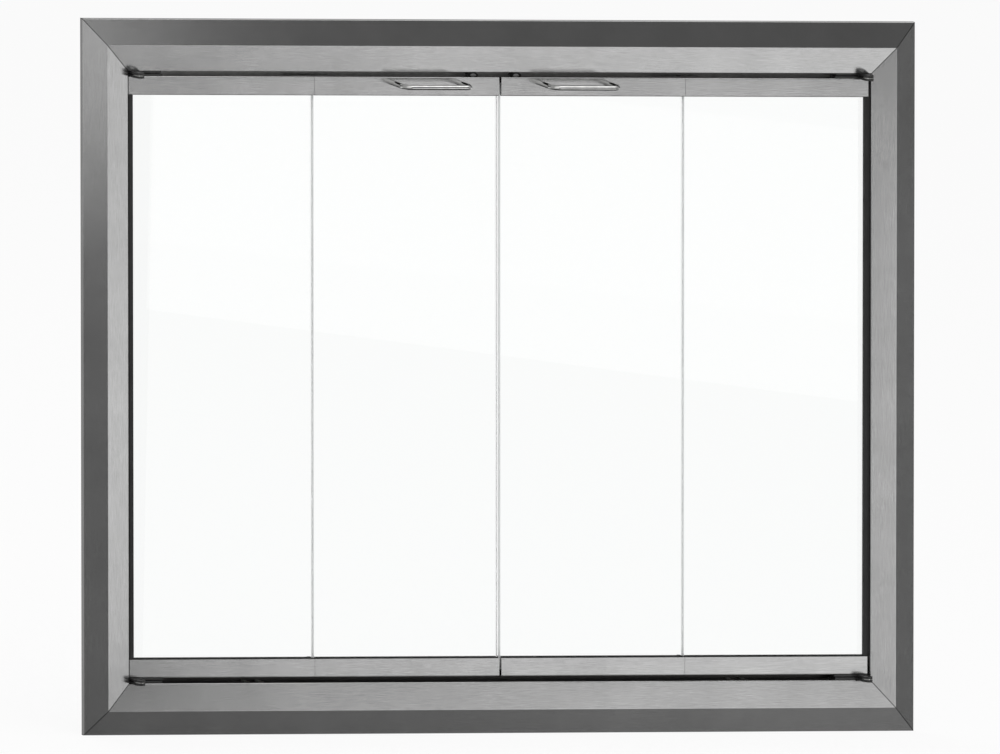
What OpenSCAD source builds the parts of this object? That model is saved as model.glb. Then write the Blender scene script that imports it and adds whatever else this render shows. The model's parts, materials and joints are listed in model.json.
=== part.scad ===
// Fireplace glass door: a mitred steel surround with two bi-fold pairs of framed glass panels.
// X runs to the right, Y into the firebox and Z up. The origin is the middle of the bottom edge,
// on the wall plane. Profiles are drawn as [distance in from the edge, depth].

/* [Surround] */
// Overall width of the surround
frame_w = 1200; // [900:10:1500]
// Overall height of the surround
frame_h = 890; // [650:10:1200]
// Width of the outer facet, from the edge to the ridge
outer_facet_w = 31.2; // [24:0.1:45]
// Width of the inner facet, from the ridge to the lip
inner_facet_w = 33.3; // [26:0.1:45]
// Depth of the outer edge, from the wall
edge_depth = 4.5; // [4.5:0.5:12]
// Rise of the ridge above the outer edge
ridge_rise = 7; // [6:0.5:14]
// Rise of the lip above the outer edge
lip_rise = 1.3; // [0.5:0.1:6]
// Thickness of the surround's sheet
sheet_t = 1.5; // [1:0.1:2]
// Depth of the return behind the lip
lip_return = 3; // [2.6:0.1:4]
// Width of the flange that lies on the wall
wall_flange_w = 20; // [18:0.5:26]
// Outside radius of the bend at the outer edge
edge_bend_r = 1.2; // [0.6:0.1:1.6]
// Outside radius of the bend at the ridge
ridge_bend_r = 3; // [1:0.5:6]
// Outside radius of the bend at the lip
lip_bend_r = 1; // [0.5:0.1:1.4]
// Gap at each mitre
mitre_gap = 0.4; // [0.1:0.05:0.5]

/* [Liner] */
// Thickness of the liner's sheet
liner_t = 1.5; // [1:0.1:2]
// Width of the liner's flange that lies behind the inner facet
liner_flange_w = 18; // [12:0.5:24]
// Reach of the jamb liners behind the wall plane
jamb_liner_depth = 7.5; // [6:0.5:12]
// Clearance from the fold hinges to the stop angles
stop_clear = 1.9; // [1:0.1:4]
// Overlap of the stop angles behind the panels
stop_overlap = 10; // [8:0.5:14]
// Length of the stop angle's leg that lies on the liner
stop_leg = 11.5; // [8:0.5:20]

/* [Panels] */
// Depth of the panel faces behind the lip's front edge
door_recess = 2.8; // [2:0.1:6]
// Clearance from the lip to each jamb edge
side_clear = 2.5; // [2:0.1:4]
// Gap between the two pairs
centre_gap = 3.2; // [3.2:0.1:6]
// Gap between the two panels of a pair
fold_gap = 0.4; // [0.4:0.1:2]
// Height of each rail
rail_h = 22.5; // [20:0.5:30]
// Depth of each rail
rail_d = 12; // [11:0.5:16]
// Thickness of the rail's wall
rail_t = 1.5; // [1.2:0.1:2]
// Outside radius of the rail's bends
rail_bend_r = 1.2; // [0.6:0.1:2]
// Thickness of the glass
glass_t = 5; // [4:0.5:6]
// Width of the arris on the upright edges of the glass
glass_arris = 0.6; // [0.3:0.1:1]
// Inset of the glass from the folding and meeting edges
glass_inset = 0.2; // [0.1:0.1:0.5]
// Width of the black stile on each jamb edge
stile_w = 6; // [5:0.5:12]
// Thickness of the gasket under the edge of the glass
gasket_base_t = 2; // [1:0.1:3]
// Height of the gasket beyond the mouth of a rail
gasket_proud = 1; // [0.5:0.1:2]
// Step from the ends of a rail and the edge of a stile back to the gasket
gasket_inset = 0.5; // [0.2:0.1:1.5]

/* [Pivots] */
// Distance of the pivot axis in from the lip's side edge
pivot_inset = 10; // [10:0.5:14]
// Distance of the pivot axis in front of the panel faces
pivot_forward = 10; // [9:0.5:14]
// Radius of the pivot pin
pivot_pin_r = 3; // [2.5:0.1:3.5]
// Wall of the pivot bush
bush_wall = 1.5; // [1:0.1:2]
// Radius of the bush's flange
bush_flange_r = 6.4; // [6:0.1:7]
// Thickness of the bush's flange
bush_flange_t = 1; // [0.8:0.1:2]
// Radius of the strap's eye and of the bracket's nose
eye_r = 7.2; // [6.8:0.1:7.2]
// Thickness of the strap on the rail
strap_t = 2.6; // [2.4:0.1:5]
// Length of the strap and of the bracket along the rail
strap_len = 48; // [44:1:60]
// Thickness of the bracket's nose
bracket_t = 2.8; // [2.4:0.1:4]
// End play between the bush's flange and the nose
bush_play = 0.3; // [0.2:0.05:0.4]

/* [Fold hinges] */
// Distance of the fold axis behind the panels' back faces
fold_axis_back = 3; // [2.8:0.1:4]
// Clearance from the knuckle to the panels' back faces
knuckle_clear = 0.3; // [0.2:0.1:0.6]
// Radius of the fold pin
fold_pin_r = 1.5; // [1.2:0.1:1.6]
// Length of a hinge leaf along the rail
leaf_len = 27; // [22:1:40]
// Thickness of a hinge leaf
leaf_t = 1.5; // [1:0.1:1.6]
// Gap between neighbouring knuckles
knuckle_gap = 0.3; // [0.2:0.05:0.5]

/* [Handles] */
// Diameter of the handle's rod
handle_rod_d = 6.35; // [6:0.05:9]
// Distance between the handle's feet
handle_centres = 96; // [70:1:130]
// Reach of the handle's rod axis in front of the panel face
handle_reach = 28; // [24:0.5:50]
// Radius of the handle's bends, at the rod's axis
handle_bend_r = 9; // [6:0.5:12]
// Distance of the handle's middle from the meeting edge
handle_from_edge = 105; // [80:1:140]
// Distance of the handle's feet below the rail's outer edge
handle_drop = 7.5; // [6:0.5:10]

/* [Catches] */
// Radius of the magnetic catch's cup
catch_r = 8.3; // [7:0.1:9]
// Radius of its magnet
magnet_r = 6; // [4:0.1:6.5]
// Distance of each catch from the middle
catch_x = 31; // [20:1:60]
// Distance of the catch's axis below the rail's top edge
catch_drop = 4; // [2:0.1:6]
// Gap from the catch's face to the closed panel
catch_gap = 0.7; // [0.4:0.1:1.5]

/* [Fixings] */
// Radius of the machine screws
screw_r = 2; // [1.6:0.1:2.4]
// Radius of a screw head
screw_head_r = 3.6; // [3:0.1:4.5]
// Clearance round a screw or a fixed pin
fixed_clear = 0.05; // [0.03:0.01:0.1]
// Running clearance round a pin or a bush
running_clear = 0.05; // [0.02:0.01:0.09]
// Width of the fixing brackets
bracket_w = 40; // [30:1:60]
// Length of the fixing brackets behind the wall plane
bracket_len = 65; // [55:1:100]
// Thickness of the fixing brackets
fix_bracket_t = 3; // [2:0.5:5]
// Distance between the two fixing brackets of a row
bracket_spacing = 700; // [400:10:900]
// Radius of the anchor holes
anchor_hole_r = 3.5; // [2.5:0.1:5]
// Distance between the two anchor holes of a bracket
anchor_pitch = 20; // [16:1:30]
// Distance of the back anchor hole from the bracket's end
anchor_edge = 10; // [8:0.5:16]
// Distance between the front and the back rivets of a bracket
rivet_pitch = 8; // [7.5:0.5:9]
// Thickness of the corner gussets
gusset_t = 2.5; // [2:0.1:2.8]
// Length of each arm of a corner gusset
gusset_len = 80; // [50:1:120]

/* [Hidden] */
$fn = 48;
face_w = outer_facet_w + inner_facet_w;
half_w = frame_w / 2;
spare = 5;
through = 0.5;
mitre_reach = face_w + spare;
screw_proud = 1;
screw_tip_clear = 0.5;

// The surround's profile, as points on its front and back faces
outer_slope = ridge_rise / outer_facet_w;
inner_slope = (ridge_rise - lip_rise) / inner_facet_w;
ridge_depth = edge_depth + ridge_rise;
lip_depth = edge_depth + lip_rise;
outer_sheet_dy = sheet_t * sqrt(1 + outer_slope * outer_slope);
inner_sheet_dy = sheet_t * sqrt(1 + inner_slope * inner_slope);
inner_liner_dy = liner_t * sqrt(1 + inner_slope * inner_slope);
function outer_back(u) = -edge_depth - outer_slope * u + outer_sheet_dy;
function inner_back(u) = -ridge_depth + inner_slope * (u - outer_facet_w) + inner_sheet_dy;
ridge_back_u = (ridge_depth - edge_depth + inner_slope * outer_facet_w + outer_sheet_dy - inner_sheet_dy)
    / (outer_slope + inner_slope);

// The openings between the lips, and the panels in them
lip_w = frame_w - 2 * face_w;
lip_h = frame_h - 2 * face_w;
end_clear = strap_t + bush_flange_t + bush_play + bracket_t;
face_y = -lip_depth + door_recess;
back_y = face_y + rail_d;
door_x = -lip_w / 2 + side_clear;
door_z = face_w + end_clear;
door_h = frame_h - 2 * door_z;
panel_w = (-centre_gap / 2 - door_x - fold_gap) / 2;
inner_x = door_x + panel_w + fold_gap;
fold_x = door_x + panel_w + fold_gap / 2;
fold_y = back_y + fold_axis_back;
screw_room = 4;
gasket_v = rail_t + screw_room;
glass_v = gasket_v + gasket_base_t;
glass_y = face_y + rail_d / 2;
glass_front_y = glass_y - glass_t / 2;
glass_back_y = glass_y + glass_t / 2;
stile_tape_t = 1;
stile_tape_gap = 0.2;
stile_glass_x = rail_t + stile_tape_t;
stile_v = rail_h + gasket_proud;

// The pivots
pivot_x = -lip_w / 2 + pivot_inset;
pivot_y = face_y - pivot_forward;
bush_r = pivot_pin_r + running_clear + bush_wall;
flange_z = door_z - strap_t;
bracket_z = flange_z - bush_flange_t - bush_play;
pin_setback = 0.5;
strap_screw_x = [20, 38];
strap_screw_tip = rail_t + screw_room - screw_tip_clear;

// The fold hinges
knuckle_r = fold_axis_back - knuckle_clear;
stop_y = fold_y + knuckle_r + stop_clear;
stop_u = door_z + stop_overlap;
knuckle_h = (rail_h - 2 * knuckle_gap) / 3;
tongue_inset = 0.1;
fold_pin_setback = 0.2;
rivet_r = 1.6;
rivet_head_r = 2.8;

// The catches and fixings
catch_z = door_z + catch_drop;
catch_y = back_y + catch_gap;
magnet_t = 2;
catch_screw_start = magnet_t + 1;
screw_head_t = 2;
liner_face_u = face_w - sheet_t;
liner_back_u = liner_face_u - liner_t;
liner_depth = stop_y + stop_leg;
clip_depth = 2 * (ridge_depth + liner_depth);
anchor_y = bracket_len - anchor_edge - anchor_pitch / 2;
bracket_front_clear = 0.3;
bracket_front_y = inner_back(liner_back_u) + inner_liner_dy + bracket_front_clear;
rivet_flat_t = 1.2;
rivet_head_room = 1;
rivet_back_y = stop_y - screw_head_r - rivet_head_room;
// The gussets lie on the wall flange, from where the outer facet clears them
gusset_clear = 0.7;
gusset_room_u = (sheet_t + gusset_t + gusset_clear - edge_depth + outer_sheet_dy) / outer_slope;
gusset_u = [max(gusset_room_u, sheet_t + gusset_clear), wall_flange_w];
gusset_screw_s = [30, 65];

// ---- Helpers ----

function unit(v) = v / norm(v);

// The arc that rounds corner b, between a and c
function bend(a, b, c, r, steps = 4) =
    let (
        to_a = unit(a - b),
        to_c = unit(c - b),
        half = acos(to_a * to_c) / 2,
        centre = b + unit(to_a + to_c) * r / sin(half),
        first = b + to_a * r / tan(half) - centre,
        last = b + to_c * r / tan(half) - centre,
        start = atan2(first[1], first[0]),
        turn = atan2(last[1], last[0]) - start,
        sweep = turn > 180 ? turn - 360 : turn < -180 ? turn + 360 : turn
    )
    [for (i = [0:steps]) centre + r * [cos(start + sweep * i / steps), sin(start + sweep * i / steps)]];

// Turns a profile of [in from the bottom, depth] into a bar along X, centred
module bar_x(len) rotate([0, -90, 0]) linear_extrude(len, center = true) children();

// The same, from one place along X to another
module bar_x_between(from, to) translate([(from + to) / 2, 0, 0]) bar_x(to - from) children();

// Repeats what is at the bottom at the top, upside down
module at_top() translate([0, 0, frame_h]) mirror([0, 0, 1]) children();

module at_both_ends() {
    children();
    at_top() children();
}

module at_right() mirror([1, 0, 0]) children();

module rod_y(r, from, to) translate([0, from, 0]) rotate([-90, 0, 0]) cylinder(h = to - from, r = r);

module rod_z(r, from, to) translate([0, 0, from]) cylinder(h = to - from, r = r);

// A countersunk screw along -Z: its flush head at the top, its tip below
module countersunk_screw(top, tip, r = screw_r, head_r = screw_head_r) {
    translate([0, 0, top - (head_r - r)]) cylinder(h = head_r - r, r1 = r, r2 = head_r);
    rod_z(r, tip, top - (head_r - r));
}

// The hole for it, from its flush face down to a depth
module countersunk_hole(top, bottom, r = screw_r, head_r = screw_head_r) {
    translate([0, 0, top - (head_r - r)])
        cylinder(h = head_r - r + fixed_clear, r1 = r + fixed_clear, r2 = head_r + 2 * fixed_clear);
    rod_z(r + fixed_clear, bottom - through, top);
}

// The wedge of the surround that one side owns, cut at its mitres
module sill_wedge() {
    reach = mitre_reach;
    rotate([90, 0, 0]) linear_extrude(clip_depth, center = true) polygon([
        [-half_w + mitre_gap - spare, -spare],
        [half_w - mitre_gap + spare, -spare],
        [half_w - mitre_gap - reach, reach],
        [-half_w + mitre_gap + reach, reach]
    ]);
}

module left_wedge() {
    reach = mitre_reach;
    rotate([90, 0, 0]) linear_extrude(clip_depth, center = true) polygon([
        [-half_w - spare, -spare],
        [-half_w + reach, reach],
        [-half_w + reach, frame_h - reach],
        [-half_w - spare, frame_h + spare]
    ]);
}

module sill_side() intersection() {
    bar_x(frame_w) children();
    sill_wedge();
}

module left_side() intersection() {
    translate([-half_w, 0, frame_h / 2]) linear_extrude(frame_h, center = true) children();
    left_wedge();
}

// ---- Surround ----

module face_profile() {
    edge = [0, -edge_depth];
    ridge = [outer_facet_w, -ridge_depth];
    lip = [face_w, -lip_depth];
    lip_end = [face_w, -lip_depth + lip_return];
    polygon(concat(
        [[wall_flange_w, 0], [0, 0]],
        bend([0, 0], edge, ridge, edge_bend_r),
        bend(edge, ridge, lip, ridge_bend_r),
        bend(ridge, lip, lip_end, lip_bend_r),
        [
            lip_end,
            [face_w - sheet_t, lip_end[1]],
            [face_w - sheet_t, inner_back(face_w - sheet_t)],
            [ridge_back_u, inner_back(ridge_back_u)],
            [sheet_t, outer_back(sheet_t)],
            [sheet_t, -sheet_t],
            [wall_flange_w, -sheet_t]
        ]
    ));
}

// The two screw places of each gusset arm, as [along the side from the corner, in from the edge]
module at_gusset_screws() {
    screw_u = (gusset_u[0] + gusset_u[1]) / 2;
    for (s = gusset_screw_s) {
        translate([-half_w + s, 0, screw_u]) children();
        translate([-half_w + screw_u, 0, s]) children();
    }
}

module gusset_screw_holes() for (side = [0, 1]) mirror([side, 0, 0]) at_both_ends() at_gusset_screws()
    rotate([-90, 0, 0]) countersunk_hole(0, -sheet_t - gusset_t);

module frame_sill() color("silver") difference() {
    sill_side() face_profile();
    gusset_screw_holes();
}

module frame_head() color("silver") difference() {
    at_top() sill_side() face_profile();
    gusset_screw_holes();
}

module frame_left_jamb() color("silver") difference() {
    left_side() face_profile();
    gusset_screw_holes();
}

module frame_right_jamb() color("silver") difference() {
    at_right() left_side() face_profile();
    gusset_screw_holes();
}

module gusset_arm() translate([-half_w + gusset_u[0], -sheet_t - gusset_t, gusset_u[0]])
    cube([gusset_len - gusset_u[0], gusset_t, gusset_u[1] - gusset_u[0]]);

module corner_gusset() {
    gusset_arm();
    translate([-half_w, 0, 0]) rotate([0, 90, 0]) mirror([1, 0, 0]) translate([half_w, 0, 0]) gusset_arm();
}

module corner_gussets() color("dimgray") difference() {
    for (side = [0, 1]) mirror([side, 0, 0]) at_both_ends() corner_gusset();
    gusset_screw_holes();
}

module gusset_screws() color("gray") for (side = [0, 1]) mirror([side, 0, 0]) at_both_ends()
    at_gusset_screws() rotate([-90, 0, 0]) countersunk_screw(0, -sheet_t - gusset_t - screw_proud);

// ---- Liner ----

module liner_profile(depth) polygon([
    [liner_face_u - liner_flange_w, inner_back(liner_face_u - liner_flange_w)],
    [liner_face_u, inner_back(liner_face_u)],
    [liner_face_u, depth],
    [liner_back_u, depth],
    [liner_back_u, inner_back(liner_back_u) + inner_liner_dy],
    [liner_face_u - liner_flange_w, inner_back(liner_face_u - liner_flange_w) + inner_liner_dy]
]);

// The holes of the sill liner, drawn at the bottom and used at both ends
module liner_holes() {
    at_pivot_bracket_screws() rod_z(screw_r + fixed_clear, 0, door_z);
    at_right() at_pivot_bracket_screws() rod_z(screw_r + fixed_clear, 0, door_z);
    at_fixing_rivets() rod_z(screw_r + fixed_clear, 0, door_z);
}

module bottom_liner() difference() {
    sill_side() liner_profile(liner_depth);
    liner_holes();
}

module sill_liner() color([0.13, 0.13, 0.13]) bottom_liner();

module head_liner() color([0.13, 0.13, 0.13]) at_top() bottom_liner();

module left_jamb_liner() color([0.13, 0.13, 0.13]) left_side() liner_profile(jamb_liner_depth);

module right_jamb_liner() color([0.13, 0.13, 0.13]) at_right() left_side()
    liner_profile(jamb_liner_depth);

// The angle behind the panels: one leg lies on the liner, the other stops smoke and the catches
module stop_angle() bar_x(frame_w - 2 * liner_face_u) polygon([
    [liner_face_u, stop_y],
    [stop_u, stop_y],
    [stop_u, stop_y + liner_t],
    [liner_face_u + liner_t, stop_y + liner_t],
    [liner_face_u + liner_t, liner_depth],
    [liner_face_u, liner_depth]
]);

module sill_stop() color([0.2, 0.2, 0.2]) stop_angle();

module head_stop() color([0.2, 0.2, 0.2]) difference() {
    at_top() stop_angle();
    at_catches() rod_y(screw_r + fixed_clear, catch_y, stop_y + spare);
}

// ---- Pivots, drawn at the bottom left ----

bracket_screw_s = [14, 36];
bracket_back_y = jamb_liner_depth;
bracket_foot_y = -lip_depth + lip_return;
bracket_side_clear = 1;
bracket_x = -lip_w / 2 + bracket_side_clear;

module at_pivot_bracket_screws() for (s = bracket_screw_s)
    translate([bracket_x + s, (bracket_foot_y + bracket_back_y) / 2, 0]) children();

module pivot_bracket() difference() {
    union() {
        rod_at_pivot(eye_r, bracket_z - bracket_t, bracket_z);
        translate([pivot_x - eye_r, pivot_y, bracket_z - bracket_t])
            cube([2 * eye_r, bracket_back_y - pivot_y, bracket_t]);
        translate([bracket_x, bracket_foot_y, liner_face_u])
            cube([strap_len, bracket_back_y - bracket_foot_y, bracket_z - liner_face_u]);
    }
    rod_at_pivot(pivot_pin_r + fixed_clear, 0, bracket_z + spare);
    at_pivot_bracket_screws() countersunk_hole(bracket_z, liner_face_u);
}

module rod_at_pivot(r, from, to) translate([pivot_x, pivot_y, 0]) rod_z(r, from, to);

module left_pivot_brackets() color([0.15, 0.15, 0.15]) at_both_ends() pivot_bracket();

module right_pivot_brackets() color([0.15, 0.15, 0.15]) at_right() at_both_ends() pivot_bracket();

module pivot_pins() color("silver") for (side = [0, 1]) mirror([side, 0, 0]) at_both_ends()
    rod_at_pivot(pivot_pin_r, bracket_z - bracket_t, door_z - pin_setback);

module pivot_bracket_screws() color("gray") for (side = [0, 1]) mirror([side, 0, 0]) at_both_ends()
    at_pivot_bracket_screws() countersunk_screw(bracket_z, liner_back_u - screw_proud);

module pivot_bush() difference() {
    union() {
        rod_at_pivot(bush_flange_r, flange_z - bush_flange_t, flange_z);
        rod_at_pivot(bush_r, flange_z - bush_flange_t, door_z - pin_setback);
    }
    rod_at_pivot(pivot_pin_r + running_clear, 0, door_z + spare);
}

module left_pivot_bushes() color("goldenrod") at_both_ends() pivot_bush();

module right_pivot_bushes() color("goldenrod") at_right() at_both_ends() pivot_bush();

module at_strap_screws() for (s = strap_screw_x) translate([door_x + s, glass_y, 0]) children();

module pivot_strap() difference() {
    union() {
        rod_at_pivot(eye_r, door_z - strap_t, door_z);
        translate([pivot_x - eye_r, pivot_y, door_z - strap_t])
            cube([2 * eye_r, back_y - pivot_y, strap_t]);
        translate([door_x, face_y, door_z - strap_t]) cube([strap_len, rail_d, strap_t]);
    }
    rod_at_pivot(bush_r + fixed_clear, 0, door_z + spare);
    at_strap_screws() mirror([0, 0, 1]) countersunk_hole(-door_z + strap_t, -door_z);
}

module left_pivot_straps() color([0.15, 0.15, 0.15]) at_both_ends() pivot_strap();

module right_pivot_straps() color([0.15, 0.15, 0.15]) at_right() at_both_ends() pivot_strap();

module strap_screws() color("gray") at_both_ends() at_strap_screws() mirror([0, 0, 1])
    countersunk_screw(-door_z + strap_t, -door_z - strap_screw_tip);

module left_strap_screws() strap_screws();

module right_strap_screws() at_right() strap_screws();

// ---- Panels, drawn on the left ----

// The rail's channel, with its web at 0
module rail_profile() polygon(concat(
    [[rail_h, face_y]],
    bend([rail_h, face_y], [0, face_y], [0, back_y], rail_bend_r),
    bend([0, face_y], [0, back_y], [rail_h, back_y], rail_bend_r),
    [
        [rail_h, back_y],
        [rail_h, back_y - rail_t],
        [rail_t, back_y - rail_t],
        [rail_t, face_y + rail_t],
        [rail_h, face_y + rail_t]
    ]
));

// The gasket that wraps the edge of the glass inside a rail
module rail_gasket_profile() difference() {
    translate([gasket_v, face_y + rail_t]) square([rail_h + gasket_proud - gasket_v, rail_d - 2 * rail_t]);
    translate([glass_v, glass_front_y]) square([rail_h, glass_t]);
}

// The angle on the jamb edge of the glass, from its outer corner
module stile_profile() polygon(concat(
    [[stile_w, face_y]],
    bend([stile_w, face_y], [0, face_y], [0, back_y], rail_bend_r),
    [
        [0, glass_back_y],
        [rail_t, glass_back_y],
        [rail_t, face_y + rail_t],
        [stile_w, face_y + rail_t]
    ]
));

// The tape that bonds it to the edge and the face of the glass
module stile_tape_profile() polygon([
    [rail_t, face_y + rail_t],
    [stile_w - gasket_inset, face_y + rail_t],
    [stile_w - gasket_inset, glass_front_y],
    [stile_glass_x, glass_front_y],
    [stile_glass_x, glass_back_y],
    [rail_t, glass_back_y]
]);

module panel_rail(x) translate([0, 0, door_z]) bar_x_between(x, x + panel_w) rail_profile();

module outer_rail() difference() {
    panel_rail(door_x);
    at_strap_screws() rod_z(screw_r + fixed_clear, 0, door_z + strap_screw_tip);
    at_outer_rivets() rod_y(rivet_r + fixed_clear, glass_y, back_y + spare);
}

module inner_rail() difference() {
    panel_rail(inner_x);
    at_inner_rivets() rod_y(rivet_r + fixed_clear, glass_y, back_y + spare);
}

module inner_handle_rail() difference() {
    at_top() inner_rail();
    at_handle_feet() rod_y(screw_r + fixed_clear, face_y - spare, glass_y);
}

module glass_sheet(from, to) translate([0, 0, door_z + glass_v]) linear_extrude(door_h - 2 * glass_v)
    polygon([
        [from, glass_front_y + glass_arris],
        [from + glass_arris, glass_front_y],
        [to - glass_arris, glass_front_y],
        [to, glass_front_y + glass_arris],
        [to, glass_back_y - glass_arris],
        [to - glass_arris, glass_back_y],
        [from + glass_arris, glass_back_y],
        [from, glass_back_y - glass_arris]
    ]);

module rail_gasket(x) translate([0, 0, door_z])
    bar_x_between(x + gasket_inset, x + panel_w - gasket_inset) rail_gasket_profile();

module along_stile(inset) translate([door_x, 0, door_z + stile_v + inset])
    linear_extrude(door_h - 2 * (stile_v + inset)) children();

module outer_gaskets() {
    at_both_ends() rail_gasket(door_x);
    along_stile(stile_tape_gap) stile_tape_profile();
}

module inner_gaskets() difference() {
    at_both_ends() rail_gasket(inner_x);
    at_handle_feet() rod_y(screw_head_r + screw_tip_clear, face_y, glass_y);
}

module edge_stile() along_stile(0) stile_profile();

module outer_glass() color([0.85, 0.9, 0.9, 0.3])
    glass_sheet(door_x + stile_glass_x, door_x + panel_w - glass_inset);

module inner_glass() color([0.85, 0.9, 0.9, 0.3])
    glass_sheet(inner_x + glass_inset, inner_x + panel_w - glass_inset);

module left_outer_glass() outer_glass();
module left_inner_glass() inner_glass();
module right_outer_glass() at_right() outer_glass();
module right_inner_glass() at_right() inner_glass();
module left_outer_top_rail() color("silver") at_top() outer_rail();
module left_outer_bottom_rail() color("silver") outer_rail();
module left_inner_top_rail() color("silver") inner_handle_rail();
module left_inner_bottom_rail() color("silver") inner_rail();
module right_outer_top_rail() color("silver") at_right() at_top() outer_rail();
module right_outer_bottom_rail() color("silver") at_right() outer_rail();
module right_inner_top_rail() color("silver") at_right() inner_handle_rail();
module right_inner_bottom_rail() color("silver") at_right() inner_rail();
module left_outer_gaskets() color([0.1, 0.1, 0.1]) outer_gaskets();
module left_inner_gaskets() color([0.1, 0.1, 0.1]) inner_gaskets();
module right_outer_gaskets() color([0.1, 0.1, 0.1]) at_right() outer_gaskets();
module right_inner_gaskets() color([0.1, 0.1, 0.1]) at_right() inner_gaskets();
module left_edge_stile() color([0.12, 0.12, 0.12]) edge_stile();
module right_edge_stile() color([0.12, 0.12, 0.12]) at_right() edge_stile();

// ---- Fold hinges, drawn at the bottom left ----

rivet_s = [10, 20];
rivet_v = [6, 16];
rivet_tip_y = back_y - rail_t;

module at_outer_rivets() for (s = rivet_s, v = rivet_v)
    translate([fold_x - s, 0, door_z + v]) children();

module at_inner_rivets() for (s = rivet_s, v = rivet_v)
    translate([fold_x + s, 0, door_z + v]) children();

// The knuckle of one third of the hinge, with the tongue that joins it to its leaf
module knuckle(third, side) {
    z = door_z + third * (knuckle_h + knuckle_gap);
    start = fold_gap / 2 + tongue_inset;
    tongue = knuckle_r + knuckle_clear + leaf_t;
    translate([fold_x, fold_y, 0]) rod_z(knuckle_r, z, z + knuckle_h);
    translate([side > 0 ? fold_x + start : fold_x - start - tongue, back_y, z])
        cube([tongue, leaf_t, knuckle_h]);
}

module leaf_plate(side) {
    start = knuckle_r + 2 * knuckle_clear;
    translate([side > 0 ? fold_x + start : fold_x - leaf_len, back_y, door_z])
        cube([leaf_len - start, leaf_t, rail_h]);
}

module leaf_rivet_hole() translate([0, back_y + leaf_t, 0]) rotate([-90, 0, 0])
    countersunk_hole(0, -leaf_t, rivet_r, rivet_head_r);

module outer_leaf() difference() {
    union() {
        leaf_plate(-1);
        knuckle(0, -1);
        knuckle(2, -1);
    }
    translate([fold_x, fold_y, 0]) rod_z(fold_pin_r + fixed_clear, 0, door_z + rail_h + spare);
    at_outer_rivets() leaf_rivet_hole();
}

module inner_leaf() difference() {
    union() {
        leaf_plate(1);
        knuckle(1, 1);
    }
    translate([fold_x, fold_y, 0]) rod_z(fold_pin_r + running_clear, 0, door_z + rail_h + spare);
    at_inner_rivets() leaf_rivet_hole();
}

module leaf_rivet() translate([0, back_y + leaf_t, 0]) rotate([-90, 0, 0])
    countersunk_screw(0, rivet_tip_y - back_y - leaf_t, rivet_r, rivet_head_r);

module fold_pins() color("silver") at_both_ends() translate([fold_x, fold_y, 0])
    rod_z(fold_pin_r, door_z + fold_pin_setback, door_z + rail_h - fold_pin_setback);

module outer_hinge_rivets() color("gray") at_both_ends() at_outer_rivets() leaf_rivet();
module inner_hinge_rivets() color("gray") at_both_ends() at_inner_rivets() leaf_rivet();
module left_outer_hinge_leaves() color([0.2, 0.2, 0.2]) at_both_ends() outer_leaf();
module left_inner_hinge_leaves() color([0.2, 0.2, 0.2]) at_both_ends() inner_leaf();
module right_outer_hinge_leaves() color([0.2, 0.2, 0.2]) at_right() at_both_ends() outer_leaf();
module right_inner_hinge_leaves() color([0.2, 0.2, 0.2]) at_right() at_both_ends() inner_leaf();
module left_fold_pins() fold_pins();
module right_fold_pins() at_right() fold_pins();
module left_outer_hinge_rivets() outer_hinge_rivets();
module left_inner_hinge_rivets() inner_hinge_rivets();
module right_outer_hinge_rivets() at_right() outer_hinge_rivets();
module right_inner_hinge_rivets() at_right() inner_hinge_rivets();

// ---- Handles, drawn on the left ----

handle_mid_x = -centre_gap / 2 - handle_from_edge;
handle_z = frame_h - door_z - handle_drop;
handle_rod_r = handle_rod_d / 2;
handle_screw_len = 8;
// The screw heads lie between the rail's wall and the glass
handle_head_clear = 0.3;
handle_head_t = glass_front_y - face_y - rail_t - handle_head_clear;

module at_handle_feet() for (side = [-1, 1])
    translate([handle_mid_x + side * handle_centres / 2, 0, handle_z]) children();

// Half of the bow, from its foot round to the middle of the bar
module half_bow() {
    half = handle_centres / 2;
    straight = handle_reach - handle_bend_r;
    translate([half, 0, 0]) rod_y(handle_rod_r, face_y - straight, face_y);
    translate([half - handle_bend_r, face_y - straight, 0]) rotate([0, 0, -90])
        rotate_extrude(angle = 90) translate([handle_bend_r, 0]) circle(r = handle_rod_r);
    translate([0, face_y - handle_reach, 0]) rotate([0, 90, 0])
        cylinder(h = half - handle_bend_r, r = handle_rod_r);
}

module handle() color("silver") difference() {
    translate([handle_mid_x, 0, handle_z]) {
        half_bow();
        mirror([1, 0, 0]) half_bow();
    }
    at_handle_feet()
        rod_y(screw_r + fixed_clear, face_y - handle_screw_len - screw_tip_clear, face_y + through);
}

module handle_screws() color("gray") at_handle_feet() {
    rod_y(screw_r, face_y - handle_screw_len, face_y + rail_t);
    rod_y(screw_head_r, face_y + rail_t, face_y + rail_t + handle_head_t);
}

module left_handle() handle();
module right_handle() at_right() handle();
module left_handle_screws() handle_screws();
module right_handle_screws() at_right() handle_screws();

// ---- Catches ----

module at_left_catch() translate([-catch_x, 0, frame_h - catch_z]) children();

module at_catches() {
    at_left_catch() children();
    at_right() at_left_catch() children();
}

module catch_cups() color([0.15, 0.15, 0.15]) at_catches() difference() {
    rod_y(catch_r, catch_y, stop_y);
    rod_y(magnet_r + fixed_clear, catch_y - spare, catch_y + magnet_t);
    rod_y(screw_r + fixed_clear, catch_y + catch_screw_start, stop_y + spare);
}

module catch_magnets() color("gray") at_catches() rod_y(magnet_r, catch_y, catch_y + magnet_t);

module catch_screws() color("gray") at_catches() {
    rod_y(screw_r, catch_y + catch_screw_start + screw_tip_clear, stop_y + liner_t);
    rod_y(screw_head_r, stop_y + liner_t, stop_y + liner_t + screw_head_t);
}

// ---- Fixing brackets, drawn at the bottom ----

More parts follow.
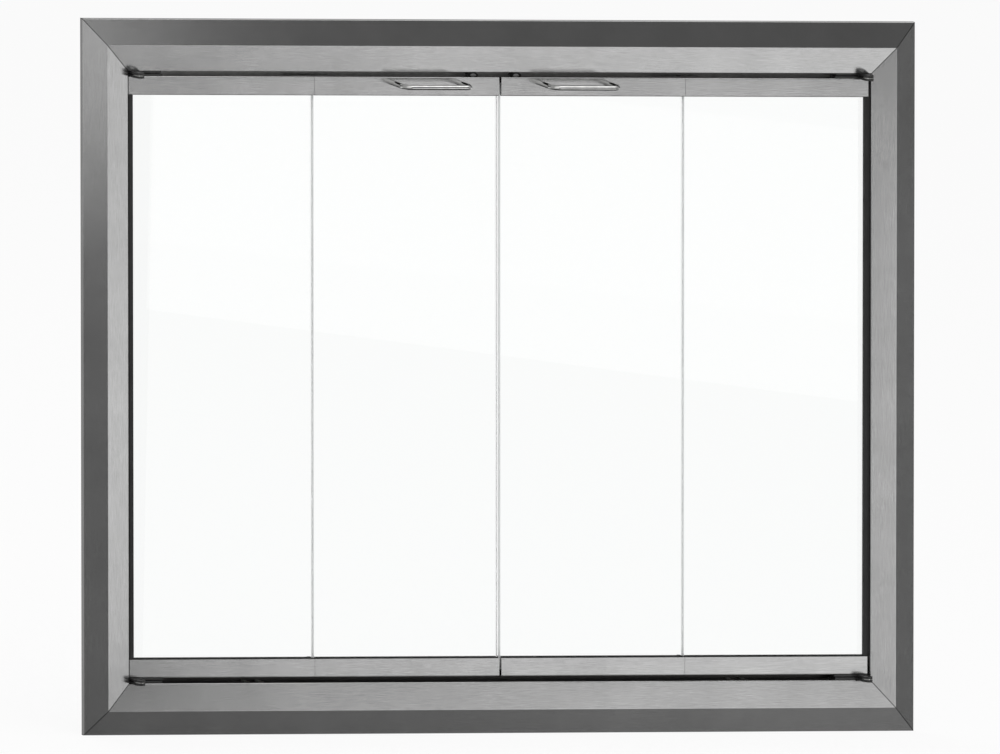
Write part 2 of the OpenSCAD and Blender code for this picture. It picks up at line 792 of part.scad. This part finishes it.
module at_bracket_sides() for (side = [-1, 1]) translate([side * bracket_spacing / 2, 0, 0]) children();

module at_fixing_rivets() at_bracket_sides() for (back = [0, 1], side = [-1, 1])
    translate([side * bracket_w / 4, rivet_back_y - back * rivet_pitch, 0]) children();

module fixing_brackets() difference() {
    at_bracket_sides() translate([-bracket_w / 2, bracket_front_y, liner_back_u - fix_bracket_t])
        cube([bracket_w, bracket_len - bracket_front_y, fix_bracket_t]);
    at_bracket_sides() for (side = [-1, 1]) translate([0, anchor_y + side * anchor_pitch / 2, 0])
        rod_z(anchor_hole_r, 0, face_w);
    at_fixing_rivets() rod_z(screw_r + fixed_clear, 0, face_w);
}

module hearth_brackets() color("dimgray") fixing_brackets();
module lintel_brackets() color("dimgray") at_top() fixing_brackets();

module fixing_rivets() color("gray") at_both_ends() at_fixing_rivets() {
    rod_z(screw_r, liner_back_u - fix_bracket_t, liner_face_u);
    rod_z(screw_head_r, liner_face_u, liner_face_u + rivet_flat_t);
}

// ---- What is drawn ----

frame_head();
frame_sill();
frame_left_jamb();
frame_right_jamb();
head_liner();
sill_liner();
left_jamb_liner();
right_jamb_liner();
head_stop();
sill_stop();
corner_gussets();
gusset_screws();
left_pivot_brackets();
right_pivot_brackets();
pivot_pins();
pivot_bracket_screws();
catch_cups();
catch_magnets();
catch_screws();
lintel_brackets();
hearth_brackets();
fixing_rivets();
left_pivot_bushes();
right_pivot_bushes();
left_outer_glass();
left_outer_top_rail();
left_outer_bottom_rail();
left_outer_gaskets();
left_edge_stile();
left_pivot_straps();
left_strap_screws();
left_outer_hinge_leaves();
left_fold_pins();
left_outer_hinge_rivets();
left_inner_glass();
left_inner_top_rail();
left_inner_bottom_rail();
left_inner_gaskets();
left_inner_hinge_leaves();
left_inner_hinge_rivets();
left_handle();
left_handle_screws();
right_outer_glass();
right_outer_top_rail();
right_outer_bottom_rail();
right_outer_gaskets();
right_edge_stile();
right_pivot_straps();
right_strap_screws();
right_outer_hinge_leaves();
right_fold_pins();
right_outer_hinge_rivets();
right_inner_glass();
right_inner_top_rail();
right_inner_bottom_rail();
right_inner_gaskets();
right_inner_hinge_leaves();
right_inner_hinge_rivets();
right_handle();
right_handle_screws();
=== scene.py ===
"""Dresses the fireplace glass door: materials, lights, floor and camera. All lengths are in metres."""

import json
import math

import bpy
from mathutils import Matrix, Vector


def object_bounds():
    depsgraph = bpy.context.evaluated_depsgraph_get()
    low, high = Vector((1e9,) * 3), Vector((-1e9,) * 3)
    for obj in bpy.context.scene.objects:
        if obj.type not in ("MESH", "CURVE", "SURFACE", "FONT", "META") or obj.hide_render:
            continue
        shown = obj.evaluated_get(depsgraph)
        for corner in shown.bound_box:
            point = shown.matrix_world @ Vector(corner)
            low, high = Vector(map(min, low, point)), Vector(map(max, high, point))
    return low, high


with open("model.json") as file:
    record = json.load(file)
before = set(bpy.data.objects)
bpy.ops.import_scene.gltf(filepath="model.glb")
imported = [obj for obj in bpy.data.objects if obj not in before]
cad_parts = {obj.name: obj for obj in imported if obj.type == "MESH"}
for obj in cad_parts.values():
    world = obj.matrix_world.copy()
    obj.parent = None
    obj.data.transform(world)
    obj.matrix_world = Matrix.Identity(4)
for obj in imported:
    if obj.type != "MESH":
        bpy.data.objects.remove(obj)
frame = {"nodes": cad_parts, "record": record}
CAD_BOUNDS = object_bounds()
NODES = frame["nodes"]
FRAME_WIDTH = CAD_BOUNDS[1][0] - CAD_BOUNDS[0][0]
FRAME_HEIGHT = CAD_BOUNDS[1][2] - CAD_BOUNDS[0][2]

# ---- The view: from the left and a little above, through a long lens ----
VIEW_YAW = math.radians(33.14)
VIEW_PITCH = math.radians(10.0)
# The photograph was squared up: the slope of level edges that it took out, and the swing of the picture plane
SQUARING_SLOPE = 0.1127
PICTURE_SWING = 0.15
LENS_MM = 1250.0
SENSOR_MM = 36.0
CLIP_START = 1.0
PICTURE_WIDTH = 1.2296
# The middle of the surround, and how far the picture's middle lies from it
VIEW_AIM = Vector((0.0, 0.0, FRAME_HEIGHT / 2.0))
AIM_RIGHT = 0.0012
AIM_UP = -0.0003

# ---- Finishes ----
# Spans that hold nearly all of a noise, most of it, and its middle
WIDE_SPAN = (0.3, 0.7)
CLOUD_SPAN = (0.32, 0.68)
NARROW_SPAN = (0.35, 0.65)
WHOLE_SPAN = (0.0, 1.0)
# Noise cells to the metre
RIPPLE_CELLS = 6.0
CLOUD_CELLS = 9.0
FLECK_CELLS = 40.0
GRAIN_CELLS = 60.0
SMEAR_CELLS = 120.0
SKIN_CELLS = 700.0
PEEL_CELLS = 900.0
MARK_CELLS = 1500.0
# How much the grain squeezes its noise across its own direction
ALONG_X = (1.0, 30.0, 30.0)
ALONG_Z = (30.0, 30.0, 1.0)
UNSTRETCHED = (1.0, 1.0, 1.0)
# Heights of the bumps
GRAIN_HEIGHT = 0.0002
PEEL_HEIGHT = 0.0001

STEEL_ROUGHNESS = (0.23, 0.17)
GRAIN_SHADE = 0.8
GRAIN_AMOUNT = 0.6
GRAIN_STRENGTH = 0.3
MITRE_LINE = 0.0009
MITRE_SHADE = 0.4
FLECK_GAIN = 1.25
FLECK_LIFT = 0.004
PEEL_STRENGTH = 0.2
PEEL_SPREAD = 0.06
SMEAR_SHADE = 0.85
MARK_STRENGTH = 0.15
MARK_SPREAD = (-0.05, 0.08)
SKIN_GAIN = 1.6
SKIN_LIFT = 0.01
SKIN_STRENGTH = 0.3
RUBBER_ROUGHNESS = 0.9
# Height of the rod's normal between its underside, darkened with painted shade, and its bright part, and how
# much rougher the underside is
UNDERSIDE_SHADE_EDGE = (-0.55, -0.3)
UNDERSIDE_ROUGHNESS = 0.15
# Sideways part of the normal, between the faces of a sheet of glass and its upright edges
GLASS_EDGE = (0.45, 0.55)
GLASS_TINT = (0.985, 0.995, 0.99)
GLASS_EDGE_TINT = (0.97, 0.985, 0.98)
GLASS_EDGE_TRANSMISSION = 0.3
GLASS_EDGE_ROUGHNESS = 0.6
GLASS_IOR = 1.45
RIPPLE_STRENGTH = 0.03

SURROUND_COLOUR = (0.55, 0.55, 0.548)
RAIL_COLOUR = (0.56, 0.56, 0.558)
HANDLE_COLOUR = (0.72, 0.72, 0.71)
# Painted shade on the handle rod's underside
UNDERSIDE_SHADE_COLOUR = (0.06, 0.06, 0.06)
STOP_COLOUR = (0.7, 0.697, 0.69)
# Painted shade: a darker copy of the stop colour for the sill stop, whose recess lies in shade
SHADED_STOP_COLOUR = (0.12, 0.118, 0.115)
BLACK = (0.012, 0.012, 0.012)
HARDWARE_COLOUR = (0.018, 0.018, 0.018)
CUP_COLOUR = (0.02, 0.02, 0.02)
BUSH_COLOUR = (0.62, 0.62, 0.60)
MAGNET_COLOUR = (0.93, 0.93, 0.93)
ZINC_COLOUR = (0.45, 0.46, 0.47)
SCREW_COLOUR = (0.42, 0.42, 0.42)
WHITE = (1.0, 1.0, 1.0)

# ---- Node helpers ----
# Places of the Mix node's sockets, which share their names between colours and numbers
MIX_FACTOR = 0
COLOUR_INPUTS = (6, 7)
COLOUR_OUTPUT = 2
NUMBER_INPUTS = (2, 3)
NUMBER_OUTPUT = 0


def new_material(name):
    material = bpy.data.materials.new(name)
    material.use_nodes = True
    tree = material.node_tree
    shader = tree.nodes["Principled BSDF"]
    return material, tree, shader


def add(tree, kind, **values):
    node = tree.nodes.new(kind)
    for key, value in values.items():
        setattr(node, key, value)
    return node


def put(tree, socket, value):
    """Links an input to an output, or sets it to a constant."""
    if isinstance(value, bpy.types.NodeSocket):
        tree.links.new(value, socket)
    else:
        socket.default_value = value


def maths(tree, operation, *values):
    node = add(tree, "ShaderNodeMath", operation=operation)
    for socket, value in zip(node.inputs, values):
        put(tree, socket, value)
    return node.outputs[0]


def vector_maths(tree, operation, *values):
    node = add(tree, "ShaderNodeVectorMath", operation=operation)
    for socket, value in zip(node.inputs, values):
        put(tree, socket, value)
    return node


def component(tree, vector, axis):
    node = add(tree, "ShaderNodeSeparateXYZ")
    tree.links.new(vector, node.inputs[0])
    return node.outputs[axis]


def noise(tree, cells, stretch=UNSTRETCHED, detail=4.0, roughness=0.5):
    """Noise in the object's own space, which is the frame that all nodes share."""
    mapping = add(tree, "ShaderNodeMapping")
    mapping.inputs["Scale"].default_value = stretch
    tree.links.new(add(tree, "ShaderNodeTexCoord").outputs["Object"], mapping.inputs["Vector"])
    node = add(tree, "ShaderNodeTexNoise")
    node.inputs["Scale"].default_value = cells
    node.inputs["Detail"].default_value = detail
    node.inputs["Roughness"].default_value = roughness
    tree.links.new(mapping.outputs["Vector"], node.inputs["Vector"])
    return node.outputs["Fac"]


def ramp(tree, source, span, colours):
    """A colour that goes from the first to the second as the source crosses the span."""
    node = add(tree, "ShaderNodeValToRGB")
    for element, place, colour in zip(node.color_ramp.elements, span, colours):
        element.position = place
        element.color = (*colour, 1.0)
    tree.links.new(source, node.inputs["Fac"])
    return node.outputs["Color"]


def spread(tree, source, span, values, interpolation="LINEAR"):
    """A number that goes from the first to the second as the source crosses the span."""
    node = add(tree, "ShaderNodeMapRange", interpolation_type=interpolation)
    for name, value in zip(("From Min", "From Max", "To Min", "To Max"), (*span, *values)):
        node.inputs[name].default_value = value
    tree.links.new(source, node.inputs["Value"])
    return node.outputs["Result"]


def multiplied(tree, colour, by, amount=1.0):
    """A colour multiplied by another, or by a number, by an amount from 0 to 1."""
    node = add(tree, "ShaderNodeMix", data_type="RGBA", blend_type="MULTIPLY")
    node.inputs[MIX_FACTOR].default_value = amount
    for place, value in zip(COLOUR_INPUTS, (colour, by)):
        tree.links.new(value, node.inputs[place])
    return node.outputs[COLOUR_OUTPUT]


def switched(tree, factor, off, on):
    """Mixes two strengths, each a number or a socket."""
    node = add(tree, "ShaderNodeMix", data_type="FLOAT")
    tree.links.new(factor, node.inputs[MIX_FACTOR])
    for place, value in zip(NUMBER_INPUTS, (off, on)):
        put(tree, node.inputs[place], value)
    return node.outputs[NUMBER_OUTPUT]


def bump(tree, shader, source, strength, height):
    node = add(tree, "ShaderNodeBump")
    node.inputs["Strength"].default_value = strength
    node.inputs["Distance"].default_value = height
    tree.links.new(source, node.inputs["Height"])
    tree.links.new(node.outputs["Normal"], shader.inputs["Normal"])


def scaled(colour, gain, lift=0.0):
    """A colour made lighter or darker, and no brighter than white."""
    return tuple(min(c * gain + lift, 1.0) for c in colour)


# ---- Materials ----


def clear_of_mitres(tree):
    """1 on the face of a side of the surround, and less along its mitres, where dirt settles in the joint."""
    place = add(tree, "ShaderNodeTexCoord").outputs["Object"]
    from_middle = vector_maths(tree, "SUBTRACT", place, VIEW_AIM).outputs["Vector"]
    distances = vector_maths(tree, "ABSOLUTE", from_middle).outputs["Vector"]
    lead = maths(tree, "SUBTRACT", component(tree, distances, "X"), component(tree, distances, "Z"))
    on_mitre = maths(tree, "COMPARE", lead, (FRAME_WIDTH - FRAME_HEIGHT) / 2.0, MITRE_LINE)
    return spread(tree, on_mitre, WHOLE_SPAN, (1.0, MITRE_SHADE))


def steel(name, colour, grain, mottle=0.07, mitred=False):
    """Brushed steel: fine lines along the grain, and soft burnished clouds."""
    material, tree, shader = new_material(name)
    clouds = noise(tree, CLOUD_CELLS, detail=5.0, roughness=0.6)
    cloud_tone = ramp(tree, clouds, CLOUD_SPAN, (scaled(colour, 1.0 - mottle), scaled(colour, 1.0 + mottle)))
    lines = noise(tree, GRAIN_CELLS, stretch=grain, roughness=0.65)
    line_tone = ramp(tree, lines, WIDE_SPAN, (scaled(WHITE, GRAIN_SHADE), WHITE))
    tone = multiplied(tree, cloud_tone, line_tone, GRAIN_AMOUNT)
    if mitred:
        tone = multiplied(tree, tone, clear_of_mitres(tree))
    tree.links.new(tone, shader.inputs["Base Color"])
    tree.links.new(spread(tree, lines, WIDE_SPAN, STEEL_ROUGHNESS), shader.inputs["Roughness"])
    bump(tree, shader, lines, GRAIN_STRENGTH, GRAIN_HEIGHT)
    shader.inputs["Metallic"].default_value = 1.0
    return material


def paint(name, colour, rough=0.5):
    """Baked enamel with a fine orange peel."""
    material, tree, shader = new_material(name)
    flecks = noise(tree, FLECK_CELLS)
    tone = ramp(tree, flecks, NARROW_SPAN, (colour, scaled(colour, FLECK_GAIN, FLECK_LIFT)))
    tree.links.new(tone, shader.inputs["Base Color"])
    peel = noise(tree, PEEL_CELLS, detail=2.0)
    gloss = spread(tree, peel, WIDE_SPAN, (rough - PEEL_SPREAD, rough + PEEL_SPREAD))
    tree.links.new(gloss, shader.inputs["Roughness"])
    bump(tree, shader, peel, PEEL_STRENGTH, PEEL_HEIGHT)
    return material


def plated(name, colour, rough=0.3):
    """Plated or turned metal with faint tool marks."""
    material, tree, shader = new_material(name)
    smears = noise(tree, SMEAR_CELLS)
    tone = ramp(tree, smears, NARROW_SPAN, (scaled(colour, SMEAR_SHADE), colour))
    tree.links.new(tone, shader.inputs["Base Color"])
    marks = noise(tree, MARK_CELLS, detail=2.0)
    gloss = spread(tree, marks, WIDE_SPAN, tuple(rough + change for change in MARK_SPREAD))
    tree.links.new(gloss, shader.inputs["Roughness"])
    bump(tree, shader, marks, MARK_STRENGTH, PEEL_HEIGHT)
    shader.inputs["Metallic"].default_value = 1.0
    return material


def underside_shaded_rod(name, colour, underside_shade, rough):
    """Polished rod with painted shade on its underside: darker and rougher where its normal points down."""
    material, tree, shader = new_material(name)
    normal = add(tree, "ShaderNodeNewGeometry").outputs["Normal"]
    above = spread(tree, component(tree, normal, "Z"), UNDERSIDE_SHADE_EDGE, WHOLE_SPAN)
    # Painted shade: the colour darkens to near black where the rod's normal points down
    tone = ramp(tree, above, WHOLE_SPAN, (underside_shade, colour))
    smears = ramp(tree, noise(tree, SMEAR_CELLS), NARROW_SPAN, (scaled(WHITE, SMEAR_SHADE), WHITE))
    tree.links.new(multiplied(tree, tone, smears), shader.inputs["Base Color"])
    gloss = spread(tree, above, WHOLE_SPAN, (rough + UNDERSIDE_ROUGHNESS, rough))
    tree.links.new(gloss, shader.inputs["Roughness"])
    bump(tree, shader, noise(tree, MARK_CELLS, detail=2.0), MARK_STRENGTH, PEEL_HEIGHT)
    shader.inputs["Metallic"].default_value = 1.0
    return material


def clear_glass(name):
    """Tempered glass with the slight waviness of the toughening, and ground upright edges."""
    material, tree, shader = new_material(name)
    normal = add(tree, "ShaderNodeNewGeometry").outputs["True Normal"]
    edge = maths(tree, "ABSOLUTE", component(tree, normal, "X"))
    tint = ramp(tree, edge, GLASS_EDGE, (GLASS_TINT, GLASS_EDGE_TINT))
    tree.links.new(tint, shader.inputs["Base Color"])
    clearness = spread(tree, edge, GLASS_EDGE, (1.0, GLASS_EDGE_TRANSMISSION))
    tree.links.new(clearness, shader.inputs["Transmission Weight"])
    tree.links.new(spread(tree, edge, GLASS_EDGE, (0.0, GLASS_EDGE_ROUGHNESS)), shader.inputs["Roughness"])
    shader.inputs["IOR"].default_value = GLASS_IOR
    bump(tree, shader, noise(tree, RIPPLE_CELLS, detail=1.0), RIPPLE_STRENGTH, GRAIN_HEIGHT)
    return material


def rubber(name, colour):
    """Matt rubber with a fine uneven skin."""
    material, tree, shader = new_material(name)
    skin = noise(tree, SKIN_CELLS)
    tone = ramp(tree, skin, NARROW_SPAN, (colour, scaled(colour, SKIN_GAIN, SKIN_LIFT)))
    tree.links.new(tone, shader.inputs["Base Color"])
    shader.inputs["Roughness"].default_value = RUBBER_ROUGHNESS
    bump(tree, shader, skin, SKIN_STRENGTH, GRAIN_HEIGHT)
    return material


MATERIALS = {
    "surround_x": steel("surround_steel_level", SURROUND_COLOUR, ALONG_X, mitred=True),
    "surround_z": steel("surround_steel_upright", SURROUND_COLOUR, ALONG_Z, mitred=True),
    "rail_steel": steel("rail_steel", RAIL_COLOUR, ALONG_X, mottle=0.08),
    # The handle rod has painted shade on its underside
    "handle_steel": underside_shaded_rod("handle_steel", HANDLE_COLOUR, UNDERSIDE_SHADE_COLOUR, rough=0.1),
    "glass": clear_glass("clear_glass"),
    "gasket": rubber("gasket", BLACK),
    "black_paint": paint("black_paint", BLACK),
    "stop_steel": plated("stop_steel", STOP_COLOUR, rough=0.35),
    # The sill stop's copy of the stop steel, darkened as painted shade
    "shaded_stop": plated("shaded_stop_steel", SHADED_STOP_COLOUR, rough=0.45),
    "black_hardware": paint("black_hardware", HARDWARE_COLOUR, rough=0.32),
    "bush_steel": plated("bush_steel", BUSH_COLOUR, rough=0.25),
    "catch_cup": paint("catch_cup", CUP_COLOUR, rough=0.4),
    "magnet": plated("magnet", MAGNET_COLOUR, rough=0.5),
    "zinc_plate": plated("zinc_plate", ZINC_COLOUR, rough=0.4),
    "screw_steel": plated("screw_steel", SCREW_COLOUR),
}


def dress():
    """Gives each node the material of its slot; the grain of the surround follows each side, and the sill
    stop gets a darker copy of the stop steel as painted shade.
    """
    for part in frame["record"]["subparts"]:
        slot = part["material_slot"]
        if slot == "surround_steel":
            slot = "surround_z" if part["node"].endswith("_jamb") else "surround_x"
        # The sill stop takes the darker copy of the stop steel: painted shade
        if part["node"] == "sill_stop":
            slot = "shaded_stop"
        mesh = NODES[part["node"]].data
        mesh.materials.clear()
        mesh.materials.append(MATERIALS[slot])


# ---- Studio ----
FLOOR_SIZE = 90.0
FLOOR_CELLS = 8
FLOOR_COLOUR = (0.93, 0.93, 0.93, 1.0)
FLOOR_ROUGHNESS = 0.9
# The share of plain white in the floor where it is seen; the rest takes light
FLOOR_WHITENESS = 0.9

# The studio that the metal reflects: dim round the camera's mirror image in a flat front, lighter all round
WORLD_STRENGTH = 0.6
DIM_AZIMUTH = 33.0
DIM_ELEVATION = -10.0
DIM_EDGE = (28.0, 33.0)
DIM_LEVEL = 0.105
ROOM_LEVEL = 0.4
# Heights of a direction, as sines, between which the reflected room darkens to its ground
GROUND_EDGE = (-0.78, -0.6)
GROUND_SHADE = 0.5

# Watts for each square metre of a lamp that looks as bright as a white sheet
WHITE_WATTS = math.pi


def white_where_seen(tree):
    """1 for what the camera sees, by itself or through glass, and 0 for light and reflections."""
    path = add(tree, "ShaderNodeLightPath")
    return maths(tree, "MAXIMUM", path.outputs["Is Camera Ray"], path.outputs["Is Transmission Ray"])


def make_floor():
    bpy.ops.mesh.primitive_grid_add(x_subdivisions=FLOOR_CELLS, y_subdivisions=FLOOR_CELLS, size=FLOOR_SIZE)
    floor = bpy.context.active_object
    floor.name = "floor"
    material, tree, shader = new_material("floor_white")
    shader.inputs["Base Color"].default_value = FLOOR_COLOUR
    shader.inputs["Roughness"].default_value = FLOOR_ROUGHNESS
    white = add(tree, "ShaderNodeEmission")
    white.inputs["Strength"].default_value = 1.0
    blend = add(tree, "ShaderNodeMixShader")
    whiteness = maths(tree, "MULTIPLY", white_where_seen(tree), FLOOR_WHITENESS)
    for socket, source in zip(blend.inputs, (whiteness, shader.outputs[0], white.outputs[0])):
        tree.links.new(source, socket)
    tree.links.new(blend.outputs[0], tree.nodes["Material Output"].inputs["Surface"])
    floor.data.materials.append(material)
    floor.visible_shadow = False
    floor.visible_glossy = False


def bearing(azimuth, elevation):
    """The direction at an angle to the right of straight ahead of the door, and at a height angle."""
    around = math.radians(azimuth)
    up = math.radians(elevation)
    return Vector((math.sin(around) * math.cos(up), -math.cos(around) * math.cos(up), math.sin(up)))


def chord(degrees):
    """The straight distance between two directions that lie this far apart."""
    return 2.0 * math.sin(math.radians(degrees) / 2.0)


def reflected_studio(tree):
    """The strength that metal reflects from a direction, by how far it lies from the dim part and how low."""
    direction = add(tree, "ShaderNodeTexCoord").outputs["Generated"]
    dim_middle = bearing(DIM_AZIMUTH, DIM_ELEVATION)
    off_middle = vector_maths(tree, "DISTANCE", direction, dim_middle).outputs["Value"]
    dim_span = tuple(chord(edge) for edge in DIM_EDGE)
    level = spread(tree, off_middle, dim_span, (DIM_LEVEL, ROOM_LEVEL), "SMOOTHSTEP")
    above_ground = spread(tree, component(tree, direction, "Z"), GROUND_EDGE, (GROUND_SHADE, 1.0))
    return maths(tree, "MULTIPLY", level, above_ground)


def make_world():
    world = bpy.data.worlds.new("studio")
    bpy.context.scene.world = world
    world.use_nodes = True
    tree = world.node_tree
    path = add(tree, "ShaderNodeLightPath")
    lit = switched(tree, path.outputs["Is Glossy Ray"], WORLD_STRENGTH, reflected_studio(tree))
    strength = switched(tree, white_where_seen(tree), lit, 1.0)
    background = tree.nodes["Background"]
    background.inputs["Color"].default_value = (*WHITE, 1.0)
    tree.links.new(strength, background.inputs["Strength"])


def soft_box(name, azimuth, elevation, distance, width, height, level):
    """A soft lamp, placed by its bearing, with its brightness as a share of white."""
    towards = bearing(azimuth, elevation)
    data = bpy.data.lights.new(name, "AREA")
    data.shape = "RECTANGLE"
    data.size = width
    data.size_y = height
    data.energy = WHITE_WATTS * width * height * level
    lamp = bpy.data.objects.new(name, data)
    lamp.location = VIEW_AIM + towards * distance
    lamp.rotation_euler = towards.to_track_quat("Z", "Y").to_euler()
    bpy.context.scene.collection.objects.link(lamp)


def make_lamps():
    """Three panels for the facets of the surround, one for the handles, and two fills for the other sides."""
    soft_box("key_panel", azimuth=39.5, elevation=-10.0, distance=2.7, width=1.5, height=1.05, level=0.75)
    soft_box("wide_panel", azimuth=34.5, elevation=-20.0, distance=3.2, width=1.9, height=1.9, level=0.21)
    soft_box("corner_panel", azimuth=-16.0, elevation=24.5, distance=1.4, width=1.3, height=1.3, level=0.5)
    soft_box("high_panel", azimuth=60.0, elevation=54.0, distance=3.0, width=2.0, height=1.2, level=1.2)
    soft_box("top_fill", azimuth=10.0, elevation=60.0, distance=3.5, width=2.5, height=2.5, level=0.5)
    soft_box("back_fill", azimuth=200.0, elevation=35.0, distance=3.5, width=2.5, height=2.5, level=1.0)


def make_camera():
    """The camera's frame is set through its parent, because a camera cannot hold a skew of its own."""
    away = Vector((
        -math.sin(VIEW_YAW) * math.cos(VIEW_PITCH),
        -math.cos(VIEW_YAW) * math.cos(VIEW_PITCH),
        math.sin(VIEW_PITCH),
    ))
    right = Vector((math.cos(VIEW_YAW), -math.sin(VIEW_YAW), 0.0))
    up = away.cross(right)
    distance = PICTURE_WIDTH * LENS_MM / SENSOR_MM
    place = VIEW_AIM + right * AIM_RIGHT + up * AIM_UP + away * distance
    across = (right + up * SQUARING_SLOPE - away * PICTURE_SWING).normalized()
    data = bpy.data.cameras.new("camera")
    data.sensor_width = SENSOR_MM
    data.lens = LENS_MM
    data.clip_start = CLIP_START
    data.clip_end = 2.0 * distance
    camera = bpy.data.objects.new("camera", data)
    rig = bpy.data.objects.new("camera_rig", None)
    for thing in (rig, camera):
        bpy.context.scene.collection.objects.link(thing)
    camera.parent = rig
    columns = (across, up, away, place)
    rows = [[column[row] for column in columns] for row in range(3)]
    camera.matrix_parent_inverse = Matrix((*rows, (0.0, 0.0, 0.0, 1.0)))
    bpy.context.scene.camera = camera


dress()
make_floor()
make_world()
make_lamps()
make_camera()
bpy.context.scene.view_settings.view_transform = "Standard"
